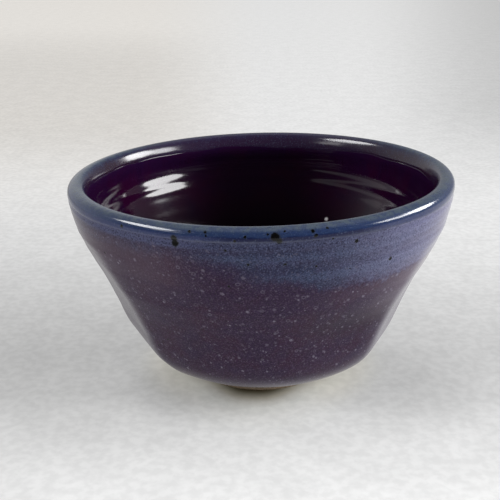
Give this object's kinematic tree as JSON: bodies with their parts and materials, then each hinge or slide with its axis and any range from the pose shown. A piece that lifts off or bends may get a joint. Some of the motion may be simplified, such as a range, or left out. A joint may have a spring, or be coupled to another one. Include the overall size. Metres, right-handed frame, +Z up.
{
  "type": "glazed stoneware bowl",
  "caption": "Small wheel-thrown stoneware mixing bowl with a rolled lip, softly dented wall, trimmed foot ring and plum and blue glaze coats.",
  "frame": {"origin": "centre of the foot's bottom plane", "axes": "+Z up along the turning axis, front towards -Y, +X to the right"},
  "size_m": [0.1398, 0.1398, 0.0784],
  "materials": {
    "bare_clay": "bare fired stoneware, fine grog",
    "liner_glaze": "gloss dark plum glaze",
    "outer_glaze": "satin plum glaze with pale crystal flecks",
    "rim_glaze": "gloss mottled blue glaze with iron specks"
  },
  "bodies": {
    "root": {"stoneware_body": "bare_clay", "liner_glaze": "liner_glaze", "outer_glaze": "outer_glaze", "rim_glaze": "rim_glaze"}
  },
  "joints": []
}
